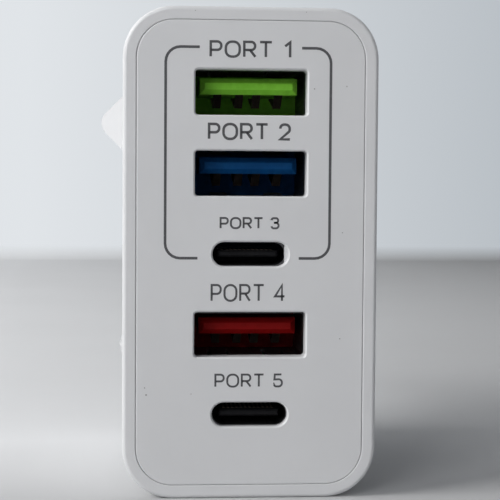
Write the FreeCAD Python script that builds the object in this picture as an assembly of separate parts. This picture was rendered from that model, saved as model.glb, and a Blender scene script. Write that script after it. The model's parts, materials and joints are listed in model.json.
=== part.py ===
"""Five-port wall charger with a flat two-pin plug, built from its separate pieces.

X runs to the right across the port face, Y from the port face towards the plug, and Z up.
The origin is the centre of the flat underside that the charger stands on. Sizes are in millimetres.
"""

import FreeCAD
import Part

import math
import os

Vector = FreeCAD.Vector

# Housing: a deep moulded box, open at the port face
BODY_WIDTH = 28.5
BODY_HEIGHT = 54.9
BODY_DEPTH = 42.0
CORNER_RADIUS = 5.7
RIM_WIDTH = 1.5
PANEL_LEDGE = 0.5
BACK_WALL = 2.0
FRONT_EDGE_RADIUS = 0.45
REAR_EDGE_RADIUS = 2.0
STOP_POST_DIAMETER = 3.0
STOP_POST_INSET = 2.4

# Front panel: a plate let into the housing's rim, with one opening per port
PANEL_THICKNESS = 2.2
PANEL_GAP = 0.03
GROOVE_RADIUS = 0.12
TENON_WALL = 1.0
TENON_DEPTH = 3.0
PANEL_POST_DIAMETER = 2.8
PANEL_POST_INSET = 2.4
PEG_DIAMETER = 1.4
PEG_LENGTH = 1.8
OPENING_EDGE_BEVEL = 0.17

# Column of ports, evenly spaced about the middle of the face
PORT_PITCH = 9.0

# Type A receptacle
A_OPENING_COVER = 0.03  # how far the panel covers the shell's bore above and below
A_OPENING_CORNER = 0.38
A_SHELL_WIDTH = 12.5
A_SHELL_HEIGHT = 5.12
A_SHELL_CORNER = 0.4
A_SHELL_WALL = 0.3
A_LIP = 0.5
A_TONGUE_SIDE_GAP = 0.7
A_TONGUE_TOP_GAP = 0.75
A_TONGUE_THICKNESS = 1.84
A_TONGUE_RECESS = 2.0
A_TONGUE_LENGTH = 8.4
A_TONGUE_LEAD_IN = 0.55
A_BASE_DEPTH = 2.4
A_FINGER_X = 3.2
A_FINGER_WIDTH = 1.9
A_FINGER_LENGTH = 5.0
A_FINGER_SETBACK = 2.6
A_FINGER_CREST = 1.25
A_FINGER_SLOT = 0.3
A_FINGER_DIP = 0.35
A_FINGER_TIP_DIP = 0.18
A_CONTACT_INNER_X = 1.0
A_CONTACT_OUTER_X = 3.5
A_CONTACT_WIDTH = 0.9
A_CONTACT_THICKNESS = 0.2
A_CONTACT_TIP = 1.2
A_CONTACT_TIP_LIFT = 0.2
A_CONTACT_CREST = 3.4
A_CONTACT_DROP = 1.2
A_GROOVE_DEPTH = 0.25
A_GROOVE_SETBACK = 0.8
A_LOWER_DROP = 0.35  # the lowest type A receptacle is soldered a little low

# Type C receptacle
C_OPENING_MARGIN = 0.09  # how far the panel's opening clears the shell's bore all round
C_FRONT_WALL = 1.0  # thickness of the panel in front of the shell's mouth
C_WEB = 0.42  # width of the web left in the right end of an opening
C_WEB_SETBACK = 0.35
C_SHELL_WIDTH = 8.34
C_SHELL_HEIGHT = 2.56
C_SHELL_WALL = 0.25
C_TONGUE_SIDE_GAP = 0.825
C_TONGUE_THICKNESS = 0.7
C_NOSE_BEVEL = 0.18
C_TONGUE_RECESS = 0.2
C_TONGUE_LENGTH = 4.5
C_STEP_THICKNESS = 1.3
C_STEP_LENGTH = 1.6
C_CONTACT_COUNT = 12
C_CONTACT_MARGIN = 0.6
C_CONTACT_WIDTH = 0.25
C_CONTACT_THICKNESS = 0.04
C_CONTACT_SETBACK = 1.6
C_UPPER_OFFSET = -0.25  # the upper type C receptacle is soldered a little off centre

# Soldering tabs and tails shared by the receptacles
TAB_WIDTH = 1.2
TAIL_OUT = 0.8

# Boards
BOARD_CLEARANCE = 0.4
PORT_BOARD_THICKNESS = 1.2
POWER_BOARD_THICKNESS = 1.6
BOARD_STANDOFF = 3.0
HOLE_CLEARANCE = 0.1
HEADER_PIN = 0.64
HEADER_PITCH = 2.54
HEADER_COUNT = 5
HEADER_BAR_WIDTH = 2.4
HEADER_BAR_HEIGHT = 2.5
HEADER_INSET = 1.6

# Plug: a six-sided boss with pointed ends, two sleeved round pins
PLUG_WIDTH = 35.3
PLUG_HEIGHT = 13.7
PLUG_LENGTH = 17.0
PLUG_DROP = 11.45
PLUG_CORNER_RADIUS = 2.0
PLUG_END_RADIUS = 1.0
PLUG_DRAFT = 0.2
PLUG_END_WALL = 5.0
SPIGOT_MARGIN = 0.6
SPIGOT_HEIGHT = 8.6
SPIGOT_WALL = 1.1
SPIGOT_CORNER = 2.0
SNAP_WIDTH = 8.0
SNAP_HEIGHT = 0.5
SNAP_THICKNESS = 0.8
PIN_SPACING = 18.6
PIN_DIAMETER = 4.0
PIN_LENGTH = 19.0
PIN_TIP_RADIUS = 1.5
PIN_COLLAR_DIAMETER = 5.2
PIN_COLLAR_LENGTH = 1.6
PIN_TAIL_DIAMETER = 1.6
PIN_TAIL_OUT = 1.0
SLEEVE_DIAMETER = 3.6
SLEEVE_WALL = 0.4
SLEEVE_LENGTH = 10.0
SLEEVE_SEAT = 2.0

# Parts on the power board
LEAD_DIAMETER = 0.6
LEAD_OUT = 0.8
BULK_DIAMETER = 9.0
BULK_LENGTH = 13.5
BULK_LEAD_PITCH = 5.0
BULK_SPACING = 1.2
OUTPUT_DIAMETER = 6.3
OUTPUT_LENGTH = 9.0
OUTPUT_LEAD_PITCH = 2.5
OUTPUT_SPACING = 1.0
OUTPUT_X = 0.9
CAN_GROOVE = 0.35
CAN_GROOVE_WIDTH = 0.9
CAN_GROOVE_HEIGHT = 1.4
CAN_TOP_RADIUS = 0.6
CORE_WIDTH = 13.0
CORE_HEIGHT = 10.6
CORE_THICKNESS = 4.6
CORE_LEG = 2.0
CORE_CENTRE_LEG = 3.6
CORE_YOKE = 1.9
WINDING_GAP = 0.1
WINDING_CORNER = 1.0
BOBBIN_HEIGHT = 2.2
BOBBIN_MARGIN = 0.6
BOBBIN_PIN_PITCH = 3.2
CHOKE_DIAMETER = 5.0
CHOKE_HEIGHT = 8.0
CHOKE_FLANGE = 1.3
CHOKE_WAIST = 0.5
CHOKE_LEAD_PITCH = 2.5
CHOKE_X = -5.0
FUSE_WIDTH = 8.0
FUSE_HEIGHT = 7.0
FUSE_THICKNESS = 3.0
FUSE_CORNER = 0.8
FUSE_LEAD_PITCH = 5.0
DISC_DIAMETER = 6.4
DISC_FACE_DIAMETER = 4.8
DISC_THICKNESS = 2.4
DISC_RIM = 0.8
DISC_STANDOFF = 0.8
DISC_LEAD_PITCH = 4.0
DISC_GAP = 0.7
CHIP_LENGTH = 5.0
CHIP_WIDTH = 3.4
CHIP_HEIGHT = 1.5
CHIP_STANDOFF = 0.12
CHIP_LEAD_COUNT = 4
CHIP_LEAD_PITCH = 1.27
CHIP_LEAD_SPAN = 0.8
CHIP_LEAD_WIDTH = 0.4
CHIP_LEAD_THICKNESS = 0.2
CHIP_BEVEL = 0.3
BRIDGE_X = 5.0

# Small clearances between pieces that fit together
FIT_GAP = 0.1
MOULD_GAP = 0.02

# Levels worked out from the sizes above
WALL = RIM_WIDTH + PANEL_LEDGE
FRONT_Y = -BODY_DEPTH / 2
BACK_Y = BODY_DEPTH / 2
BACK_INNER_Y = BACK_Y - BACK_WALL
PANEL_REAR_Y = FRONT_Y + PANEL_THICKNESS
A_TONGUE_Y = PANEL_REAR_Y + A_TONGUE_RECESS
A_BASE_Y = A_TONGUE_Y + A_TONGUE_LENGTH
PORT_BOARD_Y = A_BASE_Y + A_BASE_DEPTH
PORT_BOARD_REAR_Y = PORT_BOARD_Y + PORT_BOARD_THICKNESS
POWER_BOARD_REAR_Y = BACK_INNER_Y - BOARD_STANDOFF
POWER_BOARD_Y = POWER_BOARD_REAR_Y - POWER_BOARD_THICKNESS
PLUG_FACE_Y = BACK_Y + PLUG_LENGTH
MIDDLE_Z = BODY_HEIGHT / 2
PLUG_Z = BODY_HEIGHT - PLUG_DROP
CAVITY_WIDTH = BODY_WIDTH - 2 * WALL
CAVITY_HEIGHT = BODY_HEIGHT - 2 * WALL
BOARD_WIDTH = CAVITY_WIDTH - 2 * BOARD_CLEARANCE
BOARD_HEIGHT = CAVITY_HEIGHT - 2 * BOARD_CLEARANCE
BOARD_BOTTOM_Z = WALL + BOARD_CLEARANCE
BOARD_TOP_Z = BOARD_BOTTOM_Z + BOARD_HEIGHT
SPIGOT_WIDTH = CAVITY_WIDTH - 2 * SPIGOT_MARGIN
A_OPENING_HEIGHT = A_SHELL_HEIGHT - 2 * A_OPENING_COVER
A_TONGUE_WIDTH = A_SHELL_WIDTH - 2 * A_TONGUE_SIDE_GAP
A_TONGUE_RISE = (A_SHELL_HEIGHT - A_TONGUE_THICKNESS) / 2 - A_TONGUE_TOP_GAP
C_OPENING_WIDTH = C_SHELL_WIDTH + 2 * C_OPENING_MARGIN
C_OPENING_HEIGHT = C_SHELL_HEIGHT + 2 * C_OPENING_MARGIN
C_TONGUE_WIDTH = C_SHELL_WIDTH - 2 * C_TONGUE_SIDE_GAP
C_MOUTH_Y = FRONT_Y + C_FRONT_WALL
C_TONGUE_Y = C_MOUTH_Y + C_TONGUE_RECESS
C_STEP_Y = C_TONGUE_Y + C_TONGUE_LENGTH
C_BASE_Y = C_STEP_Y + C_STEP_LENGTH
PIN_NECK_DIAMETER = SLEEVE_DIAMETER - 2 * (SLEEVE_WALL + MOULD_GAP)
PIN_XS = {"left": -PIN_SPACING / 2, "right": PIN_SPACING / 2}
A_CONTACT_XS = (-A_CONTACT_OUTER_X, -A_CONTACT_INNER_X, A_CONTACT_INNER_X, A_CONTACT_OUTER_X)
HEADER_X = HEADER_INSET - BOARD_WIDTH / 2

# Ports from the top down: node name and type
PORTS = (("usb_a1", "A"), ("usb_a2", "A"), ("usb_c1", "C"), ("usb_a3", "A"), ("usb_c2", "C"))

# Receptacles that sit a little out of line: sideways and upward offset
OFFSETS = {"usb_c1": (C_UPPER_OFFSET, 0.0), "usb_a3": (0.0, -A_LOWER_DROP)}

# Openings with a thin web of plastic left in their right end
WEBBED = ("usb_c1",)


def port_z(index):
    """Height of a port's opening, counted from the top of the column."""
    return MIDDLE_Z + ((len(PORTS) - 1) / 2 - index) * PORT_PITCH


def receptacle_place(index):
    """Sideways place and height of the receptacle behind an opening."""
    offset_x, offset_z = OFFSETS.get(PORTS[index][0], (0.0, 0.0))
    return offset_x, port_z(index) + offset_z


def spread_rows(depths, low, high):
    """Centres of rows stacked from high down to low, with equal gaps between them and at both ends."""
    gap = (high - low - sum(depths)) / (len(depths) + 1)
    centres = []
    edge = high
    for depth in depths:
        edge -= gap + depth
        centres.append(edge + depth / 2)
    return centres


# Rows of parts on the power board, below and above the plug's pins
TRANSFORMER_DEPTH = CORE_THICKNESS + CORE_WIDTH - 2 * CORE_LEG - CORE_CENTRE_LEG
BULK_Z, TRANSFORMER_Z, OUTPUT_Z, RECTIFIER_Z = spread_rows(
    (BULK_DIAMETER, TRANSFORMER_DEPTH, OUTPUT_DIAMETER, CHIP_WIDTH + 2 * CHIP_LEAD_SPAN),
    BOARD_BOTTOM_Z,
    PLUG_Z - PIN_TAIL_DIAMETER / 2,
)
(INPUT_Z,) = spread_rows((CHOKE_DIAMETER,), PLUG_Z + FUSE_THICKNESS / 2, BOARD_TOP_Z)


def block(width, height, x, z, y_start, y_end):
    """Rectangular bar along Y, centred on x and z."""
    corner = Vector(x - width / 2, y_start, z - height / 2)
    return Part.makeBox(width, y_end - y_start, height, corner)


def rod(diameter, x, z, y_start, y_end):
    """Round bar along Y."""
    return Part.makeCylinder(diameter / 2, y_end - y_start, Vector(x, y_start, z), Vector(0, 1, 0))


def rounded_bar(width, height, radius, x, z, y_start, y_end):
    """Bar along Y with rounded corners; a radius of half the height gives round ends."""
    reach_x = width / 2 - radius
    reach_z = height / 2 - radius
    edges = []
    previous = None
    for turn, (sign_x, sign_z) in enumerate(((1, 1), (-1, 1), (-1, -1), (1, -1), (1, 1))):
        centre = Vector(x + sign_x * reach_x, y_start, z + sign_z * reach_z)
        angles = [math.radians(90 * turn + step) for step in (0, 45, 90)]
        points = [centre + Vector(radius * math.cos(a), 0, radius * math.sin(a)) for a in angles]
        if previous is not None and previous.distanceToPoint(points[0]) > 1e-6:
            edges.append(Part.LineSegment(previous, points[0]).toShape())
        if turn < 4:
            edges.append(Part.Arc(*points).toShape())
        previous = points[2]
    return Part.Face(Part.Wire(edges)).extrude(Vector(0, y_end - y_start, 0))


def strip(points, thickness, x, width):
    """Flat spring of even thickness: (y, z) points along its upper side, given its width in X."""
    lower = [(y, z - thickness) for y, z in reversed(points)]
    outline = [Vector(x - width / 2, y, z) for y, z in list(points) + lower]
    return Part.Face(Part.makePolygon(outline + outline[:1])).extrude(Vector(width, 0, 0))


def turned(profile, x, z, grow=0.0):
    """Solid of revolution about a line along Y, from (radius, y) points; grow widens every radius."""
    points = [Vector(x + (radius + grow if radius else 0.0), y, z) for radius, y in profile]
    face = Part.Face(Part.makePolygon(points + points[:1]))
    return face.revolve(Vector(x, 0, z), Vector(0, 1, 0), 360)


def edges_at(shape, y, width=None, height=None, x=0.0, z=0.0):
    """Edges that lie in the plane at y, and inside a rectangle there if one is given."""
    found = []
    for edge in shape.Edges:
        bounds = edge.BoundBox
        if abs(bounds.YMin - y) > 1e-4 or abs(bounds.YMax - y) > 1e-4:
            continue
        if width is not None:
            slack = 1e-3
            if bounds.XMin < x - width / 2 - slack or bounds.XMax > x + width / 2 + slack:
                continue
            if bounds.ZMin < z - height / 2 - slack or bounds.ZMax > z + height / 2 + slack:
                continue
        found.append(edge)
    return found


def corner_places(inset):
    """Four places near the corners of the cavity, at the same inset from its walls."""
    reach_x = CAVITY_WIDTH / 2 - inset
    reach_z = CAVITY_HEIGHT / 2 - inset
    return [(sign_x * reach_x, MIDDLE_Z + sign_z * reach_z) for sign_x in (-1, 1) for sign_z in (-1, 1)]


def housing():
    """Deep box with a stepped mouth for the panel and a way through its back wall for the plug."""
    shell = rounded_bar(BODY_WIDTH, BODY_HEIGHT, CORNER_RADIUS, 0, MIDDLE_Z, FRONT_Y, BACK_Y)
    shell = shell.makeFillet(FRONT_EDGE_RADIUS, edges_at(shell, FRONT_Y))
    shell = shell.makeFillet(REAR_EDGE_RADIUS, edges_at(shell, BACK_Y))
    cavity = rounded_bar(
        CAVITY_WIDTH, CAVITY_HEIGHT, CORNER_RADIUS - WALL, 0, MIDDLE_Z, FRONT_Y, BACK_INNER_Y
    )
    mouth_width = BODY_WIDTH - 2 * RIM_WIDTH
    mouth_height = BODY_HEIGHT - 2 * RIM_WIDTH
    mouth = rounded_bar(
        mouth_width, mouth_height, CORNER_RADIUS - RIM_WIDTH, 0, MIDDLE_Z, FRONT_Y, PANEL_REAR_Y
    )
    shell = shell.cut(cavity).cut(mouth)
    lip = edges_at(shell, FRONT_Y, mouth_width, mouth_height, 0, MIDDLE_Z)
    shell = shell.makeFillet(GROOVE_RADIUS, lip)
    plug_way = rounded_bar(
        SPIGOT_WIDTH + 2 * FIT_GAP,
        SPIGOT_HEIGHT + 2 * FIT_GAP,
        SPIGOT_CORNER + FIT_GAP,
        0,
        PLUG_Z,
        BACK_INNER_Y,
        BACK_Y,
    )
    shell = shell.cut(plug_way)
    for x, z in corner_places(STOP_POST_INSET):
        shell = shell.fuse(rod(STOP_POST_DIAMETER, x, z, POWER_BOARD_REAR_Y, BACK_INNER_Y))
    return shell.removeSplitter()


def port_opening(kind, z):
    """Straight way through the panel for one port, with its width and height."""
    if kind == "A":
        size = (A_SHELL_WIDTH, A_OPENING_HEIGHT, A_OPENING_CORNER)
    else:
        size = (C_OPENING_WIDTH, C_OPENING_HEIGHT, C_OPENING_HEIGHT / 2)
    return rounded_bar(*size, 0, z, FRONT_Y, PANEL_REAR_Y), size[0], size[1]


def usb_c_seat(x, z):
    """Pocket behind the panel's front wall that takes the mouth of a type C shell."""
    height = C_SHELL_HEIGHT + 2 * (C_SHELL_WALL + FIT_GAP)
    width = C_SHELL_WIDTH + 2 * (C_SHELL_WALL + FIT_GAP)
    return rounded_bar(width, height, height / 2, x, z, C_MOUTH_Y, PANEL_REAR_Y)


def usb_c_web(opening, z):
    """Thin web in the right end of a type C opening, set back from the face."""
    web_x = (C_OPENING_WIDTH - C_WEB) / 2
    return opening.common(block(C_WEB, C_OPENING_HEIGHT, web_x, z, FRONT_Y + C_WEB_SETBACK, C_MOUTH_Y))


def front_panel():
    """Plate that seats on the housing's ledge, with a tenon inside the walls and posts to the port board."""
    inset = RIM_WIDTH + PANEL_GAP
    plate = rounded_bar(
        BODY_WIDTH - 2 * inset,
        BODY_HEIGHT - 2 * inset,
        CORNER_RADIUS - inset,
        0,
        MIDDLE_Z,
        FRONT_Y,
        PANEL_REAR_Y,
    )
    plate = plate.makeFillet(GROOVE_RADIUS, edges_at(plate, FRONT_Y))
    for index, (name, kind) in enumerate(PORTS):
        z = port_z(index)
        opening, width, height = port_opening(kind, z)
        plate = plate.cut(opening)
        plate = plate.makeChamfer(OPENING_EDGE_BEVEL, edges_at(plate, FRONT_Y, width, height, 0, z))
        if kind == "C":
            plate = plate.cut(usb_c_seat(*receptacle_place(index)))
        if name in WEBBED:
            plate = plate.fuse(usb_c_web(opening, z))
    tenon_end_y = PANEL_REAR_Y + TENON_DEPTH
    tenon_radius = CORNER_RADIUS - WALL - FIT_GAP
    tenon_width = CAVITY_WIDTH - 2 * FIT_GAP
    tenon_height = CAVITY_HEIGHT - 2 * FIT_GAP
    tenon = rounded_bar(tenon_width, tenon_height, tenon_radius, 0, MIDDLE_Z, PANEL_REAR_Y, tenon_end_y)
    hollow = rounded_bar(
        tenon_width - 2 * TENON_WALL,
        tenon_height - 2 * TENON_WALL,
        tenon_radius - TENON_WALL,
        0,
        MIDDLE_Z,
        PANEL_REAR_Y,
        tenon_end_y,
    )
    panel = plate.fuse(tenon.cut(hollow))
    for x, z in corner_places(PANEL_POST_INSET):
        panel = panel.fuse(rod(PANEL_POST_DIAMETER, x, z, PANEL_REAR_Y, PORT_BOARD_Y))
        panel = panel.fuse(rod(PEG_DIAMETER, x, z, PORT_BOARD_Y, PORT_BOARD_Y + PEG_LENGTH))
    return panel.removeSplitter()


def soldering_tabs(shell_width, wall, x, z):
    """Pair of tabs that carry a receptacle's shell through the port board."""
    reach = (shell_width + wall) / 2
    end_y = PORT_BOARD_REAR_Y + TAIL_OUT
    return [block(wall, TAB_WIDTH, x + side * reach, z, PORT_BOARD_Y, end_y) for side in (-1, 1)]


def tab_slots(shell_width, wall, x, z):
    """Slots in the port board for those tabs."""
    reach = (shell_width + wall) / 2
    return [
        block(
            wall + 2 * HOLE_CLEARANCE,
            TAB_WIDTH + 2 * HOLE_CLEARANCE,
            x + side * reach,
            z,
            PORT_BOARD_Y,
            PORT_BOARD_REAR_Y,
        )
        for side in (-1, 1)
    ]


def usb_a_shell(x, z):
    """Folded metal tube with a flared lip, sprung fingers above and below, and soldering tabs."""
    wall = A_SHELL_WALL
    width = A_SHELL_WIDTH + 2 * wall
    height = A_SHELL_HEIGHT + 2 * wall
    radius = A_SHELL_CORNER + wall
    shell = rounded_bar(width, height, radius, x, z, PANEL_REAR_Y, PORT_BOARD_Y)
    lip = rounded_bar(
        width + 2 * A_LIP, height + 2 * A_LIP, radius + A_LIP, x, z, PANEL_REAR_Y, PANEL_REAR_Y + wall
    )
    bore = rounded_bar(A_SHELL_WIDTH, A_SHELL_HEIGHT, A_SHELL_CORNER, x, z, PANEL_REAR_Y, PORT_BOARD_Y)
    shell = shell.fuse(lip).cut(bore)
    root_y = PANEL_REAR_Y + A_FINGER_SETBACK
    tip_y = root_y + A_FINGER_LENGTH
    crest_y = tip_y - A_FINGER_CREST
    for side in (-1, 1):
        wall_z = z + side * (A_SHELL_HEIGHT + wall) / 2
        for finger_x in (x - A_FINGER_X, x + A_FINGER_X):
            slot_width = A_FINGER_WIDTH + 2 * A_FINGER_SLOT
            slot = block(slot_width, 2 * wall, finger_x, wall_z, root_y, tip_y + A_FINGER_SLOT)
            upper_z = wall_z + wall / 2
            leaf = (
                (root_y, upper_z),
                (crest_y, upper_z - side * A_FINGER_DIP),
                (tip_y, upper_z - side * A_FINGER_TIP_DIP),
            )
            shell = shell.cut(slot).fuse(strip(leaf, wall, finger_x, A_FINGER_WIDTH))
    for tab in soldering_tabs(A_SHELL_WIDTH, wall, x, z):
        shell = shell.fuse(tab)
    return shell.removeSplitter()


def usb_a_contact_line(z):
    """Upper side of a contact spring: tip up in the tongue's groove, crest below it, flat run to the tail."""
    under_z = z + A_TONGUE_RISE - A_TONGUE_THICKNESS / 2
    return (
        (A_TONGUE_Y + A_CONTACT_TIP, under_z + A_CONTACT_TIP_LIFT),
        (A_TONGUE_Y + A_CONTACT_CREST, under_z - A_CONTACT_DROP),
        (A_BASE_Y, under_z),
        (PORT_BOARD_REAR_Y + TAIL_OUT, under_z),
    )


def usb_a_insulator(x, z):
    """Coloured tongue with a bevelled nose and a grooved underside, on a base that fills the shell."""
    tongue_z = z + A_TONGUE_RISE
    tongue = block(A_TONGUE_WIDTH, A_TONGUE_THICKNESS, x, tongue_z, A_TONGUE_Y, A_BASE_Y)
    tongue = tongue.makeChamfer(A_TONGUE_LEAD_IN, edges_at(tongue, A_TONGUE_Y))
    base = rounded_bar(
        A_SHELL_WIDTH - 2 * MOULD_GAP,
        A_SHELL_HEIGHT - 2 * MOULD_GAP,
        A_SHELL_CORNER - MOULD_GAP,
        x,
        z,
        A_BASE_Y,
        PORT_BOARD_Y,
    )
    body = tongue.fuse(base)
    under_z = tongue_z - A_TONGUE_THICKNESS / 2
    groove_width = A_CONTACT_WIDTH + 2 * FIT_GAP
    slot_width = A_CONTACT_WIDTH + 2 * MOULD_GAP
    slot_height = A_CONTACT_THICKNESS + 2 * MOULD_GAP
    slot_z = under_z - A_CONTACT_THICKNESS / 2
    groove_y = A_TONGUE_Y + A_GROOVE_SETBACK
    for offset in A_CONTACT_XS:
        body = body.cut(block(groove_width, 2 * A_GROOVE_DEPTH, x + offset, under_z, groove_y, A_BASE_Y))
        body = body.cut(block(slot_width, slot_height, x + offset, slot_z, A_BASE_Y, PORT_BOARD_Y))
    return body.removeSplitter()


def usb_a_contacts(x, z):
    """Four contact springs as separate solids."""
    line = usb_a_contact_line(z)
    springs = [strip(line, A_CONTACT_THICKNESS, x + offset, A_CONTACT_WIDTH) for offset in A_CONTACT_XS]
    return Part.makeCompound(springs)


def usb_c_shell(x, z):
    """Drawn metal tube with round ends, its mouth against the panel's front wall, and soldering tabs."""
    height = C_SHELL_HEIGHT + 2 * C_SHELL_WALL
    shell = rounded_bar(C_SHELL_WIDTH + 2 * C_SHELL_WALL, height, height / 2, x, z, C_MOUTH_Y, PORT_BOARD_Y)
    bore = rounded_bar(C_SHELL_WIDTH, C_SHELL_HEIGHT, C_SHELL_HEIGHT / 2, x, z, C_MOUTH_Y, PORT_BOARD_Y)
    shell = shell.cut(bore)
    for tab in soldering_tabs(C_SHELL_WIDTH, C_SHELL_WALL, x, z):
        shell = shell.fuse(tab)
    return shell.removeSplitter()


def usb_c_insulator(x, z):
    """Thin tongue on a thicker step, on a base that fills the shell."""
    tongue = block(C_TONGUE_WIDTH, C_TONGUE_THICKNESS, x, z, C_TONGUE_Y, C_STEP_Y)
    tongue = tongue.makeChamfer(C_NOSE_BEVEL, edges_at(tongue, C_TONGUE_Y))
    step = block(C_TONGUE_WIDTH, C_STEP_THICKNESS, x, z, C_STEP_Y, C_BASE_Y)
    base_height = C_SHELL_HEIGHT - 2 * MOULD_GAP
    base = rounded_bar(
        C_SHELL_WIDTH - 2 * MOULD_GAP, base_height, base_height / 2, x, z, C_BASE_Y, PORT_BOARD_Y
    )
    return tongue.fuse(step).fuse(base).removeSplitter()


def usb_c_contacts(x, z):
    """Two rows of fine contact strips, seated on the upper and lower faces of the tongue."""
    start_y = C_TONGUE_Y + C_CONTACT_SETBACK
    pitch = (C_TONGUE_WIDTH - 2 * C_CONTACT_MARGIN) / (C_CONTACT_COUNT - 1)
    reach_z = (C_TONGUE_THICKNESS + C_CONTACT_THICKNESS) / 2
    strips = []
    for side in (-1, 1):
        for index in range(C_CONTACT_COUNT):
            strip_x = x + (index - (C_CONTACT_COUNT - 1) / 2) * pitch
            strip_z = z + side * reach_z
            strips.append(block(C_CONTACT_WIDTH, C_CONTACT_THICKNESS, strip_x, strip_z, start_y, C_STEP_Y))
    return Part.makeCompound(strips)


def six_sided_bar(width, height, y_start, y_end, draft=0.0):
    """Bar along Y with ends pointed at 90 degrees; draft narrows it on every side towards y_end."""
    wires = []
    for y, inset in ((y_start, 0.0), (y_end, draft)):
        reach_z = height / 2 - inset
        tip_x = width / 2 - inset * math.sqrt(2)
        flat_x = tip_x - reach_z
        outline = (
            (tip_x, 0.0),
            (flat_x, reach_z),
            (-flat_x, reach_z),
            (-tip_x, 0.0),
            (-flat_x, -reach_z),
            (flat_x, -reach_z),
        )
        points = [Vector(x, y, PLUG_Z + z) for x, z in outline]
        wires.append(Part.makePolygon(points + points[:1]))
    return Part.makeLoft(wires, True, True)


def plug_base():
    """Hollow boss with a spigot that snaps through the housing's back wall, moulded round the pins."""
    round_off = PLUG_CORNER_RADIUS * (math.sqrt(2) - 1)
    sharp_width = PLUG_WIDTH + 2 * round_off
    boss = six_sided_bar(sharp_width, PLUG_HEIGHT, BACK_Y, PLUG_FACE_Y, PLUG_DRAFT)
    long_edges = [edge for edge in boss.Edges if edge.BoundBox.YLength > PLUG_LENGTH / 2]
    boss = boss.makeFillet(PLUG_CORNER_RADIUS, long_edges)
    boss = boss.makeFillet(PLUG_END_RADIUS, edges_at(boss, PLUG_FACE_Y))
    spigot_y = BACK_INNER_Y - SNAP_THICKNESS
    spigot = rounded_bar(SPIGOT_WIDTH, SPIGOT_HEIGHT, SPIGOT_CORNER, 0, PLUG_Z, spigot_y, BACK_Y)
    snap_span = SPIGOT_HEIGHT + 2 * (FIT_GAP + SNAP_HEIGHT)
    snap = block(SNAP_WIDTH, snap_span, 0, PLUG_Z, spigot_y, BACK_INNER_Y)
    core_end_y = PLUG_FACE_Y - PLUG_END_WALL
    core_height = SPIGOT_HEIGHT - 2 * SPIGOT_WALL
    core = rounded_bar(
        SPIGOT_WIDTH - 2 * SPIGOT_WALL,
        core_height,
        SPIGOT_CORNER - SPIGOT_WALL,
        0,
        PLUG_Z,
        spigot_y,
        core_end_y,
    )
    base = boss.fuse(spigot).fuse(snap).cut(core)
    for x in PIN_XS.values():
        base = base.cut(turned(pin_profile(), x, PLUG_Z, MOULD_GAP))
        seat_y = PLUG_FACE_Y - SLEEVE_SEAT
        base = base.cut(rod(SLEEVE_DIAMETER + 2 * MOULD_GAP, x, PLUG_Z, seat_y, PLUG_FACE_Y))
    return base.removeSplitter()


def pin_profile():
    """Half section of a plug pin: tail to the power board, anchoring collar, sleeved neck and bare tip."""
    tail = PIN_TAIL_DIAMETER / 2
    collar = PIN_COLLAR_DIAMETER / 2
    neck = PIN_NECK_DIAMETER / 2
    bare = PIN_DIAMETER / 2
    tail_y = POWER_BOARD_Y - PIN_TAIL_OUT
    collar_end_y = PLUG_FACE_Y - SLEEVE_SEAT - MOULD_GAP
    collar_y = collar_end_y - PIN_COLLAR_LENGTH
    bare_y = PLUG_FACE_Y + SLEEVE_LENGTH + MOULD_GAP
    end_y = PLUG_FACE_Y + PIN_LENGTH
    return (
        (0.0, tail_y),
        (tail, tail_y),
        (tail, collar_y),
        (collar, collar_y),
        (collar, collar_end_y),
        (neck, collar_end_y),
        (neck, bare_y),
        (bare, bare_y),
        (bare, end_y),
        (0.0, end_y),
    )


def plug_pin(x):
    """One-piece turned pin with a rounded tip."""
    pin = turned(pin_profile(), x, PLUG_Z)
    return pin.makeFillet(PIN_TIP_RADIUS, edges_at(pin, PLUG_FACE_Y + PIN_LENGTH))


def pin_sleeve(x):
    """Insulating tube round the neck of a pin, seated in the plug's face."""
    start_y = PLUG_FACE_Y - SLEEVE_SEAT
    end_y = PLUG_FACE_Y + SLEEVE_LENGTH
    sleeve = rod(SLEEVE_DIAMETER, x, PLUG_Z, start_y, end_y)
    return sleeve.cut(rod(PIN_NECK_DIAMETER + 2 * MOULD_GAP, x, PLUG_Z, start_y, end_y))


def header_places():
    """Places of the pins that link the two boards, up the left edge beside the output capacitors."""
    lowest_z = OUTPUT_Z - (HEADER_COUNT - 1) / 2 * HEADER_PITCH
    return [(HEADER_X, lowest_z + index * HEADER_PITCH) for index in range(HEADER_COUNT)]


def drilled(board, places, diameter, y_start, y_end):
    """Board with one round hole at each place."""
    for x, z in places:
        board = board.cut(rod(diameter, x, z, y_start, y_end))
    return board


def bare_board(y_start, y_end):
    """Board outline that follows the cavity at an even clearance."""
    radius = CORNER_RADIUS - WALL - BOARD_CLEARANCE
    return rounded_bar(BOARD_WIDTH, BOARD_HEIGHT, radius, 0, MIDDLE_Z, y_start, y_end)


def header_hole():
    """Diameter that clears a square header pin."""
    return HEADER_PIN * math.sqrt(2) + 2 * HOLE_CLEARANCE


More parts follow.
